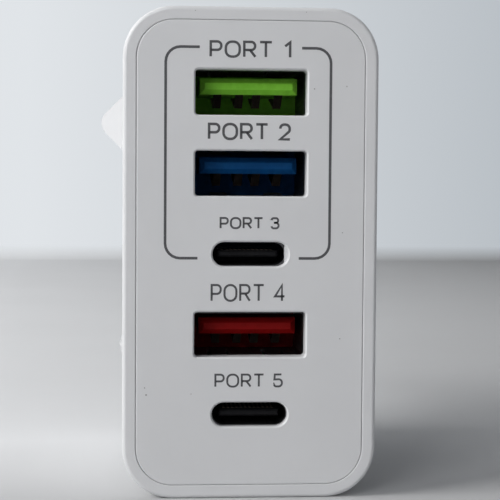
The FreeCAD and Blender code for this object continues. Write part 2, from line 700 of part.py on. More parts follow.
def port_board():
    """Board behind the panel that carries the five receptacles."""
    board = bare_board(PORT_BOARD_Y, PORT_BOARD_REAR_Y)
    span = (PORT_BOARD_Y, PORT_BOARD_REAR_Y)
    peg_hole = PEG_DIAMETER + 2 * HOLE_CLEARANCE
    board = drilled(board, corner_places(PANEL_POST_INSET), peg_hole, *span)
    board = drilled(board, header_places(), header_hole(), *span)
    for index, (_, kind) in enumerate(PORTS):
        x, z = receptacle_place(index)
        if kind == "A":
            tail_z = z + A_TONGUE_RISE - (A_TONGUE_THICKNESS + A_CONTACT_THICKNESS) / 2
            tail_hole = math.hypot(A_CONTACT_WIDTH, A_CONTACT_THICKNESS) + 2 * HOLE_CLEARANCE
            tails = [(x + offset, tail_z) for offset in A_CONTACT_XS]
            board = drilled(board, tails, tail_hole, *span)
            slots = tab_slots(A_SHELL_WIDTH, A_SHELL_WALL, x, z)
        else:
            slots = tab_slots(C_SHELL_WIDTH, C_SHELL_WALL, x, z)
        for slot in slots:
            board = board.cut(slot)
    return board


def power_board(lead_places):
    """Board that carries the mains parts, seated on the housing's stop posts."""
    board = bare_board(POWER_BOARD_Y, POWER_BOARD_REAR_Y)
    span = (POWER_BOARD_Y, POWER_BOARD_REAR_Y)
    tail_places = [(x, PLUG_Z) for x in PIN_XS.values()]
    board = drilled(board, tail_places, PIN_TAIL_DIAMETER + 2 * HOLE_CLEARANCE, *span)
    board = drilled(board, header_places(), header_hole(), *span)
    return drilled(board, lead_places, LEAD_DIAMETER + 2 * HOLE_CLEARANCE, *span)


def header_pins():
    """Square pins that join the two boards, as separate solids."""
    start_y = PORT_BOARD_Y - TAIL_OUT
    end_y = POWER_BOARD_REAR_Y + TAIL_OUT
    pins = [block(HEADER_PIN, HEADER_PIN, x, z, start_y, end_y) for x, z in header_places()]
    return Part.makeCompound(pins)


def header_bar():
    """Moulded strip that holds the header pins on the power board."""
    places = header_places()
    start_y = POWER_BOARD_Y - HEADER_BAR_HEIGHT
    middle = sum(z for _, z in places) / HEADER_COUNT
    bar = block(HEADER_BAR_WIDTH, HEADER_COUNT * HEADER_PITCH, HEADER_X, middle, start_y, POWER_BOARD_Y)
    hole = HEADER_PIN + 2 * MOULD_GAP
    for x, z in places:
        bar = bar.cut(block(hole, hole, x, z, start_y, POWER_BOARD_Y))
    return bar


def paired_places(x, z, pitch):
    """Two lead places side by side in X."""
    return [(x - pitch / 2, z), (x + pitch / 2, z)]


def with_leads(body, places, start_y=None):
    """Part with round leads that pass through the power board."""
    start_y = POWER_BOARD_Y if start_y is None else start_y
    for x, z in places:
        body = body.fuse(rod(LEAD_DIAMETER, x, z, start_y, POWER_BOARD_REAR_Y + LEAD_OUT))
    return body.removeSplitter()


def capacitor(diameter, length, x, z, places):
    """Can capacitor standing on the power board, with a crimped groove near its foot."""
    radius = diameter / 2
    top_y = POWER_BOARD_Y - length
    groove_y = POWER_BOARD_Y - CAN_GROOVE_HEIGHT
    profile = (
        (0.0, top_y),
        (radius - CAN_TOP_RADIUS, top_y),
        (radius, top_y + CAN_TOP_RADIUS),
        (radius, groove_y - CAN_GROOVE_WIDTH),
        (radius - CAN_GROOVE, groove_y - CAN_GROOVE_WIDTH / 2),
        (radius, groove_y),
        (radius, POWER_BOARD_Y),
        (0.0, POWER_BOARD_Y),
    )
    return with_leads(turned(profile, x, z), places)


def transformer_levels():
    """Y levels of the transformer: top of the core, both yokes' inner faces and its foot."""
    foot_y = POWER_BOARD_Y - BOBBIN_HEIGHT
    top_y = foot_y - CORE_HEIGHT
    return top_y, top_y + CORE_YOKE, foot_y - CORE_YOKE, foot_y


def transformer_core():
    """Ferrite frame with two windows beside its centre leg."""
    top_y, window_y, window_end_y, foot_y = transformer_levels()
    core = block(CORE_WIDTH, CORE_THICKNESS, 0, TRANSFORMER_Z, top_y, foot_y)
    window_width = (CORE_WIDTH - CORE_CENTRE_LEG) / 2 - CORE_LEG
    window_x = (CORE_CENTRE_LEG + window_width) / 2
    for side in (-1, 1):
        core = core.cut(
            block(window_width, CORE_THICKNESS, side * window_x, TRANSFORMER_Z, window_y, window_end_y)
        )
    return core


def transformer_winding():
    """Taped coil round the centre leg, seated on the lower yoke and filling the core's windows."""
    _, window_y, window_end_y, _ = transformer_levels()
    start_y = window_y + WINDING_GAP
    end_y = window_end_y
    outer_width = CORE_WIDTH - 2 * CORE_LEG - 2 * WINDING_GAP
    outer_depth = TRANSFORMER_DEPTH - 2 * WINDING_GAP
    coil = rounded_bar(outer_width, outer_depth, WINDING_CORNER, 0, TRANSFORMER_Z, start_y, end_y)
    leg_width = CORE_CENTRE_LEG + 2 * WINDING_GAP
    leg_depth = CORE_THICKNESS + 2 * WINDING_GAP
    return coil.cut(block(leg_width, leg_depth, 0, TRANSFORMER_Z, start_y, end_y))


def bobbin_lead_places():
    """Pins of the transformer's bobbin, in a row along each side."""
    reach_z = CORE_THICKNESS / 2 + LEAD_DIAMETER
    xs = [step * BOBBIN_PIN_PITCH for step in (-1, 0, 1)]
    return [(x, TRANSFORMER_Z + side * reach_z) for side in (-1, 1) for x in xs]


def controller_z():
    """Height of the switching controller, between the leads of the bulk capacitors and the bobbin's pins."""
    return (BULK_Z + max(z for _, z in bobbin_lead_places())) / 2


def transformer_bobbin():
    """Moulded foot under the core, with its pins."""
    _, _, _, foot_y = transformer_levels()
    width = CORE_WIDTH - 2 * BOBBIN_MARGIN
    depth = TRANSFORMER_DEPTH - 2 * BOBBIN_MARGIN
    foot = block(width, depth, 0, TRANSFORMER_Z, foot_y, POWER_BOARD_Y)
    return with_leads(foot, bobbin_lead_places())


def emi_choke(places):
    """Drum choke in shrunk film, standing on the power board."""
    radius = CHOKE_DIAMETER / 2
    top_y = POWER_BOARD_Y - CHOKE_HEIGHT
    profile = (
        (0.0, top_y),
        (radius, top_y),
        (radius, top_y + CHOKE_FLANGE),
        (radius - CHOKE_WAIST, top_y + 2 * CHOKE_FLANGE),
        (radius - CHOKE_WAIST, POWER_BOARD_Y - 2 * CHOKE_FLANGE),
        (radius, POWER_BOARD_Y - CHOKE_FLANGE),
        (radius, POWER_BOARD_Y),
        (0.0, POWER_BOARD_Y),
    )
    return with_leads(turned(profile, CHOKE_X, INPUT_Z), places)


def fuse_block(places):
    """Moulded input fuse between the plug's pin tails."""
    top_y = POWER_BOARD_Y - FUSE_HEIGHT
    body = rounded_bar(FUSE_WIDTH, FUSE_THICKNESS, FUSE_CORNER, 0, PLUG_Z, top_y, POWER_BOARD_Y)
    return with_leads(body, places)


def disc_x():
    """Sideways place of the disc capacitor, beside the transformer's core."""
    return CORE_WIDTH / 2 + DISC_GAP + DISC_THICKNESS / 2


def disc_lead_places():
    """Leads of the disc capacitor, one above the other."""
    return [(disc_x(), TRANSFORMER_Z + side * DISC_LEAD_PITCH / 2) for side in (-1, 1)]


def disc_capacitor(places):
    """Lens-shaped safety capacitor standing on edge over the power board."""
    radius = DISC_DIAMETER / 2
    centre_y = POWER_BOARD_Y - DISC_STANDOFF - radius
    x = disc_x()
    half = DISC_THICKNESS / 2
    half_rim = DISC_RIM / 2
    face_radius = DISC_FACE_DIAMETER / 2
    outline = (
        (x - half, 0.0),
        (x - half, face_radius),
        (x - half_rim, radius),
        (x + half_rim, radius),
        (x + half, face_radius),
        (x + half, 0.0),
    )
    points = [Vector(px, centre_y + r, TRANSFORMER_Z) for px, r in outline]
    face = Part.Face(Part.makePolygon(points + points[:1]))
    disc = face.revolve(Vector(x, centre_y, TRANSFORMER_Z), Vector(1, 0, 0), 360)
    return with_leads(disc, places, centre_y)


def chip(x, z, face_y, side):
    """Small moulded circuit with bent leads along both sides; side is -1 on a face towards the ports."""
    low_y = face_y + side * CHIP_STANDOFF
    high_y = face_y + side * (CHIP_STANDOFF + CHIP_HEIGHT)
    top_y = min(low_y, high_y)
    end_y = max(low_y, high_y)
    body = block(CHIP_LENGTH, CHIP_WIDTH, x, z, top_y, end_y)
    body = body.makeChamfer(CHIP_BEVEL, edges_at(body, high_y))
    middle_y = (low_y + high_y) / 2
    for index in range(CHIP_LEAD_COUNT):
        lead_x = x + (index - (CHIP_LEAD_COUNT - 1) / 2) * CHIP_LEAD_PITCH
        for row in (-1, 1):
            body = body.fuse(chip_lead(lead_x, z + row * CHIP_WIDTH / 2, row, face_y, middle_y))
    return body.removeSplitter()


def chip_lead(x, z, row, face_y, middle_y):
    """One gull-wing lead: out of the package, down to the board and out along it."""
    half_span = CHIP_LEAD_SPAN / 2
    thickness = math.copysign(CHIP_LEAD_THICKNESS, middle_y - face_y)
    outline = (
        (z, middle_y),
        (z + row * half_span, middle_y),
        (z + row * half_span, face_y + thickness),
        (z + row * 2 * half_span, face_y + thickness),
        (z + row * 2 * half_span, face_y),
        (z + row * (half_span - CHIP_LEAD_THICKNESS), face_y),
        (z + row * (half_span - CHIP_LEAD_THICKNESS), middle_y - thickness),
        (z, middle_y - thickness),
    )
    points = [Vector(x - CHIP_LEAD_WIDTH / 2, y, pz) for pz, y in outline]
    return Part.Face(Part.makePolygon(points + points[:1])).extrude(Vector(CHIP_LEAD_WIDTH, 0, 0))


def receptacle_nodes():
    """Shell, insulator and contacts of each receptacle."""
    makers = {
        "A": {"shell": usb_a_shell, "tongue": usb_a_insulator, "contacts": usb_a_contacts},
        "C": {"shell": usb_c_shell, "tongue": usb_c_insulator, "contacts": usb_c_contacts},
    }
    nodes = {}
    for index, (name, kind) in enumerate(PORTS):
        for word, make in makers[kind].items():
            nodes[f"{name}_{word}"] = make(*receptacle_place(index))
    return nodes


def power_nodes():
    """Power board with everything that stands on it."""
    bulk_size = (BULK_DIAMETER, BULK_LENGTH)
    output_size = (OUTPUT_DIAMETER, OUTPUT_LENGTH)
    bulk_reach = (BULK_DIAMETER + BULK_SPACING) / 2
    output_reach = (OUTPUT_DIAMETER + OUTPUT_SPACING) / 2
    cans = (
        ("bulk_capacitor_left", *bulk_size, -bulk_reach, BULK_Z, BULK_LEAD_PITCH),
        ("bulk_capacitor_right", *bulk_size, bulk_reach, BULK_Z, BULK_LEAD_PITCH),
        ("output_capacitor_left", *output_size, OUTPUT_X - output_reach, OUTPUT_Z, OUTPUT_LEAD_PITCH),
        ("output_capacitor_right", *output_size, OUTPUT_X + output_reach, OUTPUT_Z, OUTPUT_LEAD_PITCH),
    )
    choke_leads = paired_places(CHOKE_X, INPUT_Z, CHOKE_LEAD_PITCH)
    fuse_leads = paired_places(0, PLUG_Z, FUSE_LEAD_PITCH)
    lead_places = choke_leads + fuse_leads + disc_lead_places() + bobbin_lead_places()
    nodes = {}
    for name, diameter, length, x, z, pitch in cans:
        places = paired_places(x, z, pitch)
        nodes[name] = capacitor(diameter, length, x, z, places)
        lead_places += places
    nodes["transformer_core"] = transformer_core()
    nodes["transformer_winding"] = transformer_winding()
    nodes["transformer_bobbin"] = transformer_bobbin()
    nodes["emi_choke"] = emi_choke(choke_leads)
    nodes["fuse"] = fuse_block(fuse_leads)
    nodes["safety_capacitor"] = disc_capacitor(disc_lead_places())
    nodes["bridge_rectifier"] = chip(BRIDGE_X, INPUT_Z, POWER_BOARD_Y, -1)
    nodes["output_rectifier"] = chip(OUTPUT_X, RECTIFIER_Z, POWER_BOARD_Y, -1)
    nodes["switching_controller"] = chip(0, controller_z(), POWER_BOARD_REAR_Y, 1)
    nodes["power_board"] = power_board(lead_places)
    nodes["header_pins"] = header_pins()
    nodes["header_bar"] = header_bar()
    return nodes


def build():
    """Every node of the charger, by name."""
    nodes = {"housing": housing(), "front_panel": front_panel(), "plug_base": plug_base()}
    for side, x in PIN_XS.items():
        nodes[f"plug_pin_{side}"] = plug_pin(x)
        nodes[f"pin_sleeve_{side}"] = pin_sleeve(x)
    nodes.update(receptacle_nodes())
    nodes["port_board"] = port_board()
    nodes["port_controller"] = chip(0, port_z(2) - PORT_PITCH / 2, PORT_BOARD_REAR_Y, 1)
    nodes.update(power_nodes())
    return nodes


def main():
    """Writes one STEP file per node."""
    os.makedirs("parts", exist_ok=True)
    for name, shape in build().items():
        shape.exportStep(os.path.join("parts", name + ".step"))
        print(f"{name}: {len(shape.Solids)} solid(s), {shape.Volume:.1f} mm3, valid {shape.isValid()}")


main()
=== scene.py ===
"""Looks of the five-port wall charger: camera, finishes, print, small blemishes, stage and light.

Everything sits in the part's own frame: X to the right across the port face, Y from the port face towards
the plug, Z up. Sizes below are in millimetres and become metres where they are used. Heights on the port
face are counted from its middle.
"""

import json
import math
import random

import bmesh
import bpy
from mathutils import Matrix, Vector


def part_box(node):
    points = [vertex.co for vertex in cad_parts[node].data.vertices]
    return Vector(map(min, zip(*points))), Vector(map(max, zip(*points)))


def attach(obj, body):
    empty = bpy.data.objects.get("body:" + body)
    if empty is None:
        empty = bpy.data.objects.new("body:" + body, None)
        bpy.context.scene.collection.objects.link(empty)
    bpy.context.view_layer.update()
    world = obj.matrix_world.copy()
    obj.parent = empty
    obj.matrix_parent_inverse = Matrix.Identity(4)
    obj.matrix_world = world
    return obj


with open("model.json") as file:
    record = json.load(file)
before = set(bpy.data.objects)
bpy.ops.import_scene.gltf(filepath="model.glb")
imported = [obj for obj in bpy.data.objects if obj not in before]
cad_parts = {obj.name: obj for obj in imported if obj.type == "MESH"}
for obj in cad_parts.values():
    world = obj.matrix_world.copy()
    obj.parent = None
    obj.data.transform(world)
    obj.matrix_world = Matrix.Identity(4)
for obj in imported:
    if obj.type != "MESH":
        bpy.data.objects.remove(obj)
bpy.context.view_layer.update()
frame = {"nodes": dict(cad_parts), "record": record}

MM = 0.001

# Camera, placed from the middle of the port face
CAMERA_X = -12.44
CAMERA_RISE = 8.59
CAMERA_DISTANCE = 159.14
AIM_X = -0.066
AIM_RISE = 0.48
CAMERA_ROLL = 0.394
FOCAL_LENGTH = 103.2
SENSOR_WIDTH = 36.0
NEAR_CLIP = 10.0

# Print on the front panel
INK_THICKNESS = 0.012
INK_SINK = 0.004
LETTER_GAP = 0.27
MITRE_LIMIT = 0.45
ARC_STEPS = 6
LINE_WIDTH = 0.30
LINE_TOP = 22.93
LINE_BOTTOM = -0.45
LINE_CORNER = 1.65
# Side, place of the upright, and where the line stops above and below
LINE_SIDES = (
    ("left", -9.53, -5.78, -5.92),
    ("right", 8.84, 5.58, 5.40),
)
# Words, centre, foot of the letters, their height, the width of the line of print and that of its strokes
LEGENDS = (
    ("PORT 1", -0.16, 21.76, 1.92, 9.1, 0.28),
    ("PORT 2", -0.20, 12.67, 1.93, 9.3, 0.29),
    ("PORT 3", -0.13, 2.80, 1.35, 6.7, 0.22),
    ("PORT 4", -0.24, -5.32, 2.00, 8.4, 0.24),
    ("PORT 5", -0.11, -14.95, 1.57, 7.7, 0.22),
)
# Letters one unit high: width, then strokes of (across, up) points, where a third number rounds the corner
LETTERS = {
    " ": (0.25, ()),
    "P": (0.62, (((0, 0), (0, 1), (0.62, 1, 0.26), (0.62, 0.44, 0.26), (0, 0.44)),)),
    "O": (0.82, (((0, 0, 0.4), (0, 1, 0.4), (0.82, 1, 0.4), (0.82, 0, 0.4), (0, 0, 0.4)),)),
    "R": (
        0.66,
        (
            ((0, 0), (0, 1), (0.64, 1, 0.26), (0.64, 0.46, 0.26), (0, 0.46)),
            ((0.34, 0.46), (0.66, 0)),
        ),
    ),
    "T": (0.70, (((0, 1), (0.70, 1)), ((0.35, 1), (0.35, 0)))),
    "1": (0.30, (((0, 0.74), (0.30, 1), (0.30, 0)),)),
    "2": (0.60, (((0, 0.72), (0, 1, 0.26), (0.58, 1, 0.28), (0.58, 0.56, 0.2), (0, 0), (0.60, 0)),)),
    "3": (
        0.60,
        (
            ((0, 0.80), (0, 1, 0.2), (0.56, 1, 0.22), (0.56, 0.54, 0.22), (0.20, 0.54)),
            ((0.20, 0.54), (0.60, 0.54, 0.26), (0.60, 0, 0.26), (0, 0, 0.2), (0, 0.20)),
        ),
    ),
    "4": (0.66, (((0.48, 0), (0.48, 1), (0, 0.28), (0.66, 0.28)),)),
    "5": (
        0.60,
        (((0.56, 1), (0.06, 1), (0.03, 0.58), (0.60, 0.62, 0.28), (0.60, 0, 0.28), (0, 0, 0.2), (0, 0.18)),),
    ),
}

# Finishes: darker and lighter tint of the white plastics; the plug's base gets a whiter copy of the
# housing's plastic, painted light that stands in for the bright light on it
WHITE_PLASTICS = {
    "white_plastic": ((0.672, 0.677, 0.687), (0.69, 0.695, 0.705)),
    "plug_plastic_painted_light": ((0.818, 0.823, 0.828), (0.834, 0.839, 0.844)),
}
OWN_FINISHES = {"plug_base": "plug_plastic_painted_light"}
# Darker and lighter tint, then the least and greatest roughness
TINTED_PLASTICS = {
    "sleeve_black": ((0.012, 0.012, 0.013), (0.02, 0.02, 0.021), (0.4, 0.55)),
    "tongue_green": ((0.27, 0.76, 0.06), (0.32, 0.84, 0.075), (0.5, 0.6)),
    "tongue_blue": ((0.004, 0.070, 0.23), (0.006, 0.090, 0.28), (0.5, 0.6)),
    "tongue_red": ((0.26, 0.004, 0.004), (0.31, 0.006, 0.006), (0.5, 0.6)),
    "tongue_black": ((0.006, 0.006, 0.007), (0.010, 0.010, 0.011), (0.5, 0.6)),
    "can_sleeve": ((0.010, 0.012, 0.03), (0.016, 0.02, 0.045), (0.2, 0.3)),
    "inner_black": ((0.012, 0.012, 0.013), (0.022, 0.022, 0.023), (0.45, 0.6)),
    "fuse_brown": ((0.07, 0.025, 0.012), (0.10, 0.04, 0.02), (0.35, 0.5)),
    "disc_blue": ((0.02, 0.07, 0.24), (0.03, 0.10, 0.30), (0.25, 0.4)),
}
# How far the drawing marks of metal are stretched: long ones along Y, or turned ones round it
ALONG_Y = (1.0, 0.05, 1.0)
AROUND_Y = (0.05, 0.4, 0.05)
# The same for metals, then the stretch of their marks
PLATED_METALS = {
    "pin_metal": ((0.62, 0.61, 0.58), (0.68, 0.67, 0.64), (0.32, 0.36), AROUND_Y),
    # shell_metal is near-black rather than bright plated steel: painted shade of the socket interiors
    "shell_metal": ((0.07, 0.07, 0.073), (0.12, 0.12, 0.124), (0.3, 0.45), ALONG_Y),
    "contact_metal": ((0.16, 0.125, 0.10), (0.24, 0.19, 0.15), (0.4, 0.55), ALONG_Y),
    "header_metal": ((0.60, 0.58, 0.50), (0.76, 0.74, 0.66), (0.25, 0.4), ALONG_Y),
}
WHITE_SPECULAR = 0.35
TINTED_SPECULAR = 0.1
DUST_TINT = (0.34, 0.33, 0.32)
WEAVE_PITCH = 1.2
TAPE_PITCH = 6.0
# Most of a noise's values lie between these two
NOISE_LOW = 0.3
NOISE_HIGH = 0.7

# Small blemishes: a ridge of moulding flash on the left edge, and a few specks on the face
FLASH_LOW = -11.0
FLASH_HIGH = -9.1
FLASH_REACH = 0.3
FLASH_SETBACK = 0.25
FLASH_STEPS = 9
FLASH_TIP = 0.04
FLASH_BLUNTNESS = 0.6
FLASH_RIPPLE = 0.3
FLASH_RIPPLE_TURN = 11
SPECK_SEED = 7
SPECK_THICKNESS = 0.02
SPECK_SIDES = 9
SPECK_LEAST = 0.6
# Place across and up the port face, and size
SPECKS = (
    (-11.57, -15.74, 0.28),
    (-11.75, -14.94, 0.19),
    (10.12, -9.49, 0.20),
    (-6.56, -15.66, 0.16),
    (7.01, 18.45, 0.20),
    (10.64, 18.75, 0.18),
    (10.32, 2.45, 0.16),
    (-6.28, 26.9, 0.13),
    (6.04, 26.9, 0.12),
)

# Stage: a floor that sweeps up into a backdrop, both painted paler on the left and darker on the right:
# painted light falling off from the left and painted shade beside the charger
FLOOR_HALF_WIDTH = 900.0
FLOOR_FRONT = 700.0
FLOOR_BACK = 435.0
SWEEP_RADIUS = 12.0
SWEEP_STEPS = 12
BACKDROP_HEIGHT = 700.0
BACKDROP_LEFT_X = -60.0
BACKDROP_RIGHT_X = 150.0
BACKDROP_PAINTED_LIGHT_LEFT = (0.75, 0.78, 0.81)
BACKDROP_PAINTED_SHADE_RIGHT = (0.49, 0.527, 0.563)
FLOOR_PAINTED_LIGHT_LEFT = (0.76, 0.77, 0.78)
FLOOR_PAINTED_SHADE_RIGHT = (0.38, 0.385, 0.39)
# Colour of the painted shade on the floor in front of the charger, and where along Y it starts and is
# complete
FLOOR_NEAR_PAINTED_SHADE = (0.52, 0.525, 0.53)
FLOOR_NEAR_PAINTED_SHADE_Y = (15.0, -25.0)
FLOOR_MOTTLE = 0.06
FLOOR_SPECULAR = 0.2

# Light: where each soft lamp stands, what it faces, its two sides, its power in watts and its tint
LAMPS = (
    ("left_lamp", (-624, -181, 467), (0, -10, 30), (450, 330), 5.30, (1.0, 0.99, 0.98)),
    ("front_lamp", (-432, -712, 340), (0, -10, 30), (390, 300), 2.62, (0.99, 0.99, 1.0)),
    ("back_lamp", (-130, 180, 330), (-5, 28, 40), (160, 160), 0.15, (1.0, 1.0, 1.0)),
    ("right_lamp", (520, 400, 300), (10, 20, 30), (300, 220), 0.85, (1.0, 1.0, 1.0)),
)
SURROUND_DIM = (0.06, 0.065, 0.075)
SURROUND_PALE = (0.60, 0.63, 0.66)


def add_node(tree, kind, inputs=None, **attributes):
    """New shader node with its attributes and unlinked inputs set."""
    node = tree.nodes.new(kind)
    for name, value in attributes.items():
        setattr(node, name, value)
    for name, value in (inputs or {}).items():
        node.inputs[name].default_value = value
    return node


def new_material(name):
    """Empty material with its node tree and its main shader."""
    material = bpy.data.materials.new(name)
    material.use_nodes = True
    tree = material.node_tree
    return material, tree, tree.nodes["Principled BSDF"]


def placed_coordinates(tree, stretch=None):
    """Coordinates of the part itself, stretched by a factor on each axis."""
    coordinates = add_node(tree, "ShaderNodeTexCoord")
    if stretch is None:
        return coordinates.outputs["Object"]
    mapping = add_node(tree, "ShaderNodeMapping", {"Scale": stretch})
    tree.links.new(coordinates.outputs["Object"], mapping.inputs["Vector"])
    return mapping.outputs["Vector"]


def noise(tree, grain, detail=2.0, stretch=None):
    """Noise with grains about that many millimetres across."""
    texture = add_node(tree, "ShaderNodeTexNoise", {"Scale": 1 / (grain * MM), "Detail": detail})
    tree.links.new(placed_coordinates(tree, stretch), texture.inputs["Vector"])
    return texture.outputs["Fac"]


def waves(tree, pitch, distortion, **settings):
    """Even waves of that pitch in millimetres, a little distorted."""
    inputs = {"Scale": 1 / (pitch * MM), "Distortion": distortion}
    texture = add_node(tree, "ShaderNodeTexWave", inputs, **settings)
    tree.links.new(placed_coordinates(tree), texture.inputs["Vector"])
    return texture


def ramp(tree, factor, stops):
    """Colour that runs through the given (place, colour) stops."""
    node = add_node(tree, "ShaderNodeValToRGB")
    elements = node.color_ramp.elements
    while len(elements) < len(stops):
        elements.new(0.5)
    for element, (place, colour) in zip(elements, stops):
        element.position = place
        element.color = (*colour, 1.0)
    tree.links.new(factor, node.inputs["Fac"])
    return node.outputs["Color"]


def spread(tree, factor, low, high):
    """Number that follows a noise from low to high."""
    inputs = {"From Min": NOISE_LOW, "From Max": NOISE_HIGH, "To Min": low, "To Max": high}
    node = add_node(tree, "ShaderNodeMapRange", inputs)
    tree.links.new(factor, node.inputs["Value"])
    return node.outputs["Result"]


def mixed(tree, factor, first, second):
    """First colour, giving way to a plain second one where the factor is high."""
    node = add_node(tree, "ShaderNodeMix", data_type="RGBA")
    colour_inputs = [socket for socket in node.inputs if socket.type == "RGBA"]
    tree.links.new(factor, node.inputs["Factor"])
    tree.links.new(first, colour_inputs[0])
    colour_inputs[1].default_value = (*second, 1.0)
    return next(socket for socket in node.outputs if socket.type == "RGBA")


def rough_surface(tree, shader, height, depth, strength=1.0):
    """Fine relief of that depth in millimetres on the shader's normal."""
    bump = add_node(tree, "ShaderNodeBump", {"Distance": depth * MM, "Strength": strength})
    tree.links.new(height, bump.inputs["Height"])
    tree.links.new(bump.outputs["Normal"], shader.inputs["Normal"])


def dust_mask(tree, cell, size, share):
    """Sparse round dots: one in a share of the cells of a scattered grid."""
    cells = add_node(tree, "ShaderNodeTexVoronoi", {"Scale": 1 / (cell * MM)})
    tree.links.new(placed_coordinates(tree), cells.inputs["Vector"])
    near = add_node(tree, "ShaderNodeMath", operation="LESS_THAN")
    near.inputs[1].default_value = size / cell
    tree.links.new(cells.outputs["Distance"], near.inputs[0])
    chosen = add_node(tree, "ShaderNodeMath", operation="LESS_THAN")
    chosen.inputs[1].default_value = share
    tree.links.new(cells.outputs["Color"], chosen.inputs[0])
    both = add_node(tree, "ShaderNodeMath", operation="MULTIPLY")
    tree.links.new(near.outputs["Value"], both.inputs[0])
    tree.links.new(chosen.outputs["Value"], both.inputs[1])
    return both.outputs["Value"]


def white_plastic(name, dark, light):
    """Satin moulded plastic: faint clouding, a spark-eroded grain and a little dust."""
    material, tree, shader = new_material(name)
    clouds = ramp(tree, noise(tree, grain=7.0, detail=3.0), ((0.35, dark), (0.65, light)))
    dusty = mixed(tree, dust_mask(tree, cell=2.4, size=0.07, share=0.10), clouds, DUST_TINT)
    tree.links.new(dusty, shader.inputs["Base Color"])
    tree.links.new(spread(tree, noise(tree, grain=0.9), low=0.36, high=0.46), shader.inputs["Roughness"])
    shader.inputs["Specular IOR Level"].default_value = WHITE_SPECULAR
    rough_surface(tree, shader, noise(tree, grain=0.22, detail=3.0), depth=0.004, strength=0.6)
    return material


def tinted_plastic(name, dark, light, roughness):
    """Moulded plastic in one tint, with slight flow marks along its length."""
    material, tree, shader = new_material(name)
    flow = noise(tree, grain=0.8, detail=3.0, stretch=(1.0, 0.35, 1.0))
    tree.links.new(ramp(tree, flow, ((NOISE_LOW, dark), (NOISE_HIGH, light))), shader.inputs["Base Color"])
    tree.links.new(spread(tree, noise(tree, grain=0.4), *roughness), shader.inputs["Roughness"])
    shader.inputs["Specular IOR Level"].default_value = TINTED_SPECULAR
    rough_surface(tree, shader, noise(tree, grain=0.15), depth=0.003, strength=0.5)
    return material


def plated_metal(name, dark, light, roughness, stretch):
    """Plated sheet or turned metal with fine drawing marks."""
    material, tree, shader = new_material(name)
    marks = noise(tree, grain=0.25, detail=4.0, stretch=stretch)
    tree.links.new(ramp(tree, marks, ((NOISE_LOW, dark), (NOISE_HIGH, light))), shader.inputs["Base Color"])
    shader.inputs["Metallic"].default_value = 1.0
    tree.links.new(spread(tree, marks, *roughness), shader.inputs["Roughness"])
    rough_surface(tree, shader, marks, depth=0.002, strength=0.4)
    return material


def board_laminate(name):
    """Masked laminate: woven glass under green mask."""
    material, tree, shader = new_material(name)
    weave = waves(tree, WEAVE_PITCH, distortion=1.5)
    weave.inputs["Detail"].default_value = 1.0
    stops = ((0.2, (0.012, 0.10, 0.035)), (0.8, (0.022, 0.16, 0.055)))
    tree.links.new(ramp(tree, weave.outputs["Fac"], stops), shader.inputs["Base Color"])
    tree.links.new(spread(tree, noise(tree, grain=1.5), low=0.28, high=0.42), shader.inputs["Roughness"])
    rough_surface(tree, shader, weave.outputs["Fac"], depth=0.006, strength=0.4)
    return material


def sintered(name):
    """Ferrite: dark grey with fine grains and lighter pits."""
    material, tree, shader = new_material(name)
    stops = ((0.25, (0.035, 0.035, 0.038)), (0.6, (0.075, 0.075, 0.08)), (0.8, (0.13, 0.13, 0.135)))
    grain = noise(tree, grain=0.12, detail=4.0)
    tree.links.new(ramp(tree, grain, stops), shader.inputs["Base Color"])
    tree.links.new(spread(tree, grain, low=0.5, high=0.75), shader.inputs["Roughness"])
    rough_surface(tree, shader, grain, depth=0.02)
    return material


def taped_winding(name):
    """Amber tape wound in overlapping bands."""
    material, tree, shader = new_material(name)
    bands = waves(tree, TAPE_PITCH, distortion=0.6, bands_direction="Y")
    stops = ((0.1, (0.42, 0.22, 0.02)), (0.5, (0.62, 0.38, 0.05)), (0.9, (0.70, 0.46, 0.08)))
    tree.links.new(ramp(tree, bands.outputs["Fac"], stops), shader.inputs["Base Color"])
    tree.links.new(spread(tree, noise(tree, grain=1.0), low=0.25, high=0.4), shader.inputs["Roughness"])
    rough_surface(tree, shader, bands.outputs["Fac"], depth=0.05, strength=0.5)
    return material


def printed_ink(name):
    """Thin dark grey ink, a little uneven where it covers the grain."""
    material, tree, shader = new_material(name)
    cover = noise(tree, grain=0.18, detail=3.0)
    stops = ((0.30, (0.055, 0.055, 0.06)), (0.62, (0.075, 0.075, 0.08)), (0.80, (0.16, 0.16, 0.17)))
    tree.links.new(ramp(tree, cover, stops), shader.inputs["Base Color"])
    tree.links.new(spread(tree, cover, low=0.45, high=0.65), shader.inputs["Roughness"])
    rough_surface(tree, shader, cover, depth=0.003, strength=0.5)
    return material


def dust(name):
    """Grey lint and grit."""
    material, tree, shader = new_material(name)
    grain = noise(tree, grain=0.08, detail=3.0)
    stops = ((NOISE_LOW, (0.26, 0.26, 0.26)), (NOISE_HIGH, (0.42, 0.41, 0.40)))
    tree.links.new(ramp(tree, grain, stops), shader.inputs["Base Color"])
    tree.links.new(spread(tree, grain, low=0.7, high=0.9), shader.inputs["Roughness"])
    rough_surface(tree, shader, grain, depth=0.02)
    return material


def all_finishes():
    """One finish for each of the record's material slots, and the plug's whiter copy of the white plastic,
    painted light.
    """
    finishes = {
        "board": board_laminate("board"),
        "ferrite": sintered("ferrite"),
        "winding_tape": taped_winding("winding_tape"),
    }
    for name, tints in WHITE_PLASTICS.items():
        finishes[name] = white_plastic(name, *tints)
    for name, looks in TINTED_PLASTICS.items():
        finishes[name] = tinted_plastic(name, *looks)
    for name, looks in PLATED_METALS.items():
        finishes[name] = plated_metal(name, *looks)
    return finishes


def finish_nodes(finishes):
    """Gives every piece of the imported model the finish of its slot, or its own finish."""
    for row in frame["record"]["subparts"]:
        mesh = frame["nodes"][row["node"]].data
        mesh.materials.clear()
        mesh.materials.append(finishes[OWN_FINISHES.get(row["node"], row["material_slot"])])


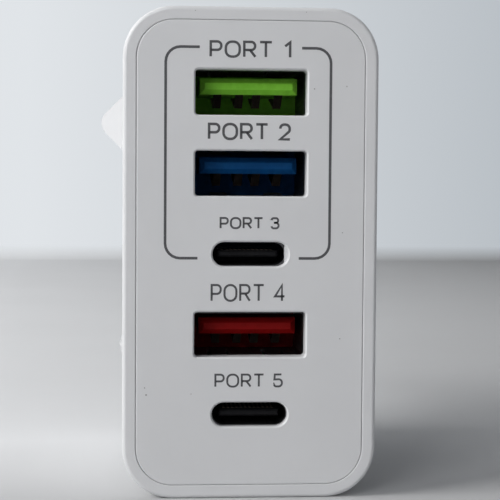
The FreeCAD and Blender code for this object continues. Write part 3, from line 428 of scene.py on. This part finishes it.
def new_piece(name, mesh, material):
    """Object of the part's one body, with its finish."""
    mesh.materials.clear()
    mesh.materials.append(material)
    piece = bpy.data.objects.new(name, mesh)
    bpy.context.scene.collection.objects.link(piece)
    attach(piece, "root")
    return piece


def mesh_from(name, edit):
    """Mesh data from a bmesh, with its faces turned outwards."""
    bmesh.ops.recalc_face_normals(edit, faces=edit.faces)
    mesh = bpy.data.meshes.new(name)
    edit.to_mesh(mesh)
    edit.free()
    return mesh


def add_rows(edit, rows, closed=False):
    """Faces between rows of corners; the ends are capped, or joined where the rows form a ring."""
    following = rows[1:] + rows[:1] if closed else rows[1:]
    for first, second in zip(rows, following):
        for corner in range(len(first)):
            after = (corner + 1) % len(first)
            edit.faces.new((first[corner], first[after], second[after], second[corner]))
    if not closed:
        edit.faces.new(rows[0])
        edit.faces.new(rows[-1])


def slab(name, outline, front_y, thickness):
    """Closed thin plate: an (x, z) outline in millimetres, from front_y backwards."""
    edit = bmesh.new()
    front = [edit.verts.new((x * MM, front_y, z * MM)) for x, z in outline]
    face = edit.faces.new(front)
    grown = bmesh.ops.extrude_face_region(edit, geom=[face])
    moved = [item for item in grown["geom"] if isinstance(item, bmesh.types.BMVert)]
    bmesh.ops.translate(edit, verts=moved, vec=(0, thickness * MM, 0))
    return mesh_from(name, edit)


def rounded_path(points):
    """Path through (x, z) points, where a third number is the radius of that corner."""
    path = []
    for index, point in enumerate(points):
        corner = Vector(point[:2])
        if len(point) == 2:
            path.append(corner)
            continue
        back = (Vector(points[index - 1][:2]) - corner).normalized()
        onward = (Vector(points[(index + 1) % len(points)][:2]) - corner).normalized()
        half_angle = back.angle(onward) / 2
        radius = point[2]
        centre = corner + (back + onward).normalized() * radius / math.sin(half_angle)
        reach = radius / math.tan(half_angle)
        first = corner + back * reach - centre
        last = corner + onward * reach - centre
        start = math.atan2(first.y, first.x)
        turn = math.atan2(first.cross(last), first.dot(last))
        for step in range(ARC_STEPS + 1):
            angle = start + turn * step / ARC_STEPS
            path.append(centre + radius * Vector((math.cos(angle), math.sin(angle))))
    return path


def ribbon_sides(path, width, closed):
    """Both sides of a line of even width along a path, mitred at its corners."""
    sides = []
    for index, point in enumerate(path):
        runs = []
        if closed or index > 0:
            runs.append((point - path[index - 1]).normalized())
        if closed or index + 1 < len(path):
            runs.append((path[(index + 1) % len(path)] - point).normalized())
        along = sum(runs, Vector((0, 0))).normalized()
        reach = width / 2 / max(along.dot(runs[0]), MITRE_LIMIT)
        across = Vector((-along.y, along.x)) * reach
        sides.append((point + across, point - across))
    return sides


def add_ink_line(edit, points, width, face_y):
    """Adds one printed line as a thin closed strip; it closes on itself where it ends at its start."""
    closed = points[0][:2] == points[-1][:2]
    path = rounded_path(points[:-1] if closed else points)
    back_y = face_y + INK_SINK * MM
    front_y = back_y - INK_THICKNESS * MM
    rows = []
    for near, far in ribbon_sides(path, width, closed):
        corners = ((near, front_y), (far, front_y), (far, back_y), (near, back_y))
        rows.append([edit.verts.new((spot.x * MM, y, spot.y * MM)) for spot, y in corners])
    add_rows(edit, rows, closed)


def letter_strokes(words):
    """Strokes of a line of print, each with its place along the line, and the length of the line."""
    strokes = []
    pen = 0.0
    for letter in words:
        width, lines = LETTERS[letter]
        strokes += [(pen, line) for line in lines]
        pen += width + LETTER_GAP
    return strokes, pen - LETTER_GAP


def print_legend(words, centre_x, foot_z, height, width, stroke, face_y, ink):
    """One line of print on the panel, drawn to its height and width."""
    strokes, length = letter_strokes(words)
    scale_x = (width - stroke) / length
    scale_z = height - stroke
    start_x = centre_x - scale_x * length / 2
    low_z = foot_z + stroke / 2
    edit = bmesh.new()
    for pen, line in strokes:
        points = []
        for across, up, *corner in line:
            place = (start_x + (pen + across) * scale_x, low_z + up * scale_z)
            points.append(place + tuple(radius * min(scale_x, scale_z) for radius in corner))
        add_ink_line(edit, points, stroke, face_y)
    name = "legend_" + words.lower().replace(" ", "_")
    new_piece(name, mesh_from(name, edit), ink)


def print_line(side_name, upright_x, top_end_x, bottom_end_x, face_y, face_z, ink):
    """Half of the bracket line round the upper three ports."""
    points = (
        (top_end_x, face_z + LINE_TOP),
        (upright_x, face_z + LINE_TOP, LINE_CORNER),
        (upright_x, face_z + LINE_BOTTOM, LINE_CORNER),
        (bottom_end_x, face_z + LINE_BOTTOM),
    )
    edit = bmesh.new()
    add_ink_line(edit, points, LINE_WIDTH, face_y)
    name = "bracket_line_" + side_name
    new_piece(name, mesh_from(name, edit), ink)


def flash_reach(share):
    """How far the flash stands out at a share of its length: blunt at both ends and rippled between."""
    blunt_ends = math.sin(math.pi * (FLASH_TIP + (1 - 2 * FLASH_TIP) * share)) ** FLASH_BLUNTNESS
    ripple = 1 - FLASH_RIPPLE + FLASH_RIPPLE * math.cos(FLASH_RIPPLE_TURN * share)
    return FLASH_REACH * blunt_ends * ripple * MM


def edge_flash(edge_x, face_y, face_z, plastic):
    """Thin three-sided ridge of moulding flash that stands out from the left edge of the housing."""
    root_y = face_y + FLASH_SETBACK * MM
    low_z = (face_z + FLASH_LOW) * MM
    high_z = (face_z + FLASH_HIGH) * MM
    edit = bmesh.new()
    rows = []
    for step in range(FLASH_STEPS + 1):
        share = step / FLASH_STEPS
        reach = flash_reach(share)
        z = low_z + share * (high_z - low_z)
        near = (edge_x + reach, root_y, z)
        crest = (edge_x - reach, root_y + reach, z)
        far = (edge_x + reach, root_y + 2 * reach, z)
        rows.append([edit.verts.new(corner) for corner in (near, crest, far)])
    add_rows(edit, rows)
    new_piece("edge_flash", mesh_from("edge_flash", edit), plastic)


def face_specks(face_y, face_z, material):
    """Specks of grit on the port face, each an irregular flake."""
    chance = random.Random(SPECK_SEED)
    for index, (x, rise, size) in enumerate(SPECKS, 1):
        outline = []
        for side in range(SPECK_SIDES):
            angle = 2 * math.pi * side / SPECK_SIDES
            radius = size / 2 * chance.uniform(SPECK_LEAST, 1.0)
            outline.append((x + radius * math.cos(angle), face_z + rise + radius * math.sin(angle)))
        name = f"speck_{index}"
        mesh = slab(name, outline, face_y - SPECK_THICKNESS * MM, SPECK_THICKNESS)
        new_piece(name, mesh, material)


def seen_directly(tree):
    """One for rays from the camera, mirrors and glass, and nought for those that carry light."""
    path = add_node(tree, "ShaderNodeLightPath")
    seen = path.outputs["Is Camera Ray"]
    for name in ("Is Glossy Ray", "Is Transmission Ray"):
        either = add_node(tree, "ShaderNodeMath", operation="MAXIMUM")
        tree.links.new(seen, either.inputs[0])
        tree.links.new(path.outputs[name], either.inputs[1])
        seen = either.outputs["Value"]
    return seen


def share_along(tree, axis, low, high):
    """Number that runs from nought to one between two places on an axis of the stage."""
    split = add_node(tree, "ShaderNodeSeparateXYZ")
    tree.links.new(placed_coordinates(tree), split.inputs["Vector"])
    node = add_node(tree, "ShaderNodeMapRange", {"From Min": low * MM, "From Max": high * MM})
    tree.links.new(split.outputs[axis], node.inputs["Value"])
    return node.outputs["Result"]


def stage_material():
    """Pale matt table painted lighter on the left and darker on the right, with painted shade in front of
    the charger, and above it a backdrop that glows with its own pale colour, painted the same way, whatever
    light falls on it.
    """
    material, tree, shader = new_material("stage")
    across = share_along(tree, "X", BACKDROP_LEFT_X, BACKDROP_RIGHT_X)
    # painted light and shade: the floor is paler on the left and darker on the right
    table = ramp(tree, across, ((0.0, FLOOR_PAINTED_LIGHT_LEFT), (1.0, FLOOR_PAINTED_SHADE_RIGHT)))
    # darker band of painted shade on the floor in front of the charger
    table = mixed(tree, share_along(tree, "Y", *FLOOR_NEAR_PAINTED_SHADE_Y), table, FLOOR_NEAR_PAINTED_SHADE)
    mottle = spread(tree, noise(tree, grain=60.0), low=0.0, high=FLOOR_MOTTLE)
    tree.links.new(mixed(tree, mottle, table, FLOOR_PAINTED_SHADE_RIGHT), shader.inputs["Base Color"])
    tree.links.new(spread(tree, noise(tree, grain=4.0), low=0.75, high=0.82), shader.inputs["Roughness"])
    shader.inputs["Specular IOR Level"].default_value = FLOOR_SPECULAR
    glow = add_node(tree, "ShaderNodeEmission")
    # the backdrop's glow is painted paler on the left and darker on the right, as painted light falling off
    # from the left
    pale = ramp(tree, across, ((0.0, BACKDROP_PAINTED_LIGHT_LEFT), (1.0, BACKDROP_PAINTED_SHADE_RIGHT)))
    tree.links.new(pale, glow.inputs["Color"])
    backdrop = add_node(tree, "ShaderNodeMath", operation="MULTIPLY")
    tree.links.new(seen_directly(tree), backdrop.inputs[0])
    tree.links.new(share_along(tree, "Z", 0.0, SWEEP_RADIUS / 2), backdrop.inputs[1])
    either = add_node(tree, "ShaderNodeMixShader")
    tree.links.new(backdrop.outputs["Value"], either.inputs["Fac"])
    tree.links.new(shader.outputs["BSDF"], either.inputs[1])
    tree.links.new(glow.outputs["Emission"], either.inputs[2])
    tree.links.new(either.outputs["Shader"], tree.nodes["Material Output"].inputs["Surface"])
    return material


def stage_sweep():
    """Pale floor that sweeps up into a backdrop behind the charger."""
    profile = [(-FLOOR_FRONT, 0.0), (FLOOR_BACK, 0.0)]
    for step in range(1, SWEEP_STEPS + 1):
        angle = math.radians(90.0 * step / SWEEP_STEPS)
        rise = SWEEP_RADIUS * (1 - math.cos(angle))
        profile.append((FLOOR_BACK + SWEEP_RADIUS * math.sin(angle), rise))
    profile.append((FLOOR_BACK + SWEEP_RADIUS, BACKDROP_HEIGHT))
    ends = (-FLOOR_HALF_WIDTH, FLOOR_HALF_WIDTH)
    edit = bmesh.new()
    rows = []
    for y, z in profile:
        rows.append([edit.verts.new((x * MM, y * MM, z * MM)) for x in ends])
    for first, second in zip(rows, rows[1:]):
        edit.faces.new((first[0], first[1], second[1], second[0]))
    for face in edit.faces:
        face.smooth = True
    mesh = bpy.data.meshes.new("stage_sweep")
    edit.to_mesh(mesh)
    edit.free()
    mesh.materials.append(stage_material())
    sweep = bpy.data.objects.new("stage_sweep", mesh)
    bpy.context.scene.collection.objects.link(sweep)


def soft_lamps():
    """Large soft lamps that don't show in the picture themselves."""
    for name, place, target, (width, height), power, tint in LAMPS:
        data = bpy.data.lights.new(name, "AREA")
        data.shape = "RECTANGLE"
        data.size = width * MM
        data.size_y = height * MM
        data.energy = power
        data.color = tint
        lamp = bpy.data.objects.new(name, data)
        lamp.location = Vector(place) * MM
        direction = (Vector(target) - Vector(place)).normalized()
        lamp.rotation_euler = direction.to_track_quat("-Z", "Y").to_euler()
        lamp.visible_camera = False
        bpy.context.scene.collection.objects.link(lamp)


def surround():
    """Dim even light from all round, behind a pale sky that only the camera and reflections see."""
    world = bpy.data.worlds.new("surround")
    world.use_nodes = True
    tree = world.node_tree
    dim = tree.nodes["Background"]
    dim.inputs["Color"].default_value = (*SURROUND_DIM, 1.0)
    pale = add_node(tree, "ShaderNodeBackground", {"Color": (*SURROUND_PALE, 1.0)})
    either = add_node(tree, "ShaderNodeMixShader")
    tree.links.new(seen_directly(tree), either.inputs["Fac"])
    tree.links.new(dim.outputs["Background"], either.inputs[1])
    tree.links.new(pale.outputs["Background"], either.inputs[2])
    tree.links.new(either.outputs["Shader"], tree.nodes["World Output"].inputs["Surface"])
    bpy.context.scene.world = world


def photo_camera(face_y, face_z):
    """Camera at the photograph's place, aimed at the port face."""
    data = bpy.data.cameras.new("photo_camera")
    data.lens = FOCAL_LENGTH
    data.sensor_width = SENSOR_WIDTH
    data.clip_start = NEAR_CLIP * MM
    camera = bpy.data.objects.new("photo_camera", data)
    place = Vector((CAMERA_X * MM, face_y - CAMERA_DISTANCE * MM, (face_z + CAMERA_RISE) * MM))
    aim = Vector((AIM_X * MM, face_y, (face_z + AIM_RISE) * MM))
    level = (aim - place).to_track_quat("-Z", "Y").to_matrix()
    rolled = level @ Matrix.Rotation(math.radians(CAMERA_ROLL), 3, "Z")
    camera.matrix_world = Matrix.Translation(place) @ rolled.to_4x4()
    bpy.context.scene.collection.objects.link(camera)
    bpy.context.scene.camera = camera


def main():
    """Builds the whole scene."""
    bpy.context.scene.view_settings.view_transform = "Standard"
    panel_low, panel_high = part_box("front_panel")
    housing_low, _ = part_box("housing")
    face_y = panel_low.y
    face_z = (panel_low.z + panel_high.z) / 2 / MM
    photo_camera(face_y, face_z)
    finishes = all_finishes()
    finish_nodes(finishes)
    ink = printed_ink("print_grey")
    for words, centre_x, foot, height, width, stroke in LEGENDS:
        print_legend(words, centre_x, face_z + foot, height, width, stroke, face_y, ink)
    for side_name, upright_x, top_end_x, bottom_end_x in LINE_SIDES:
        print_line(side_name, upright_x, top_end_x, bottom_end_x, face_y, face_z, ink)
    edge_flash(housing_low.x, face_y, face_z, finishes["white_plastic"])
    face_specks(face_y, face_z, dust("dust"))
    stage_sweep()
    soft_lamps()
    surround()


main()
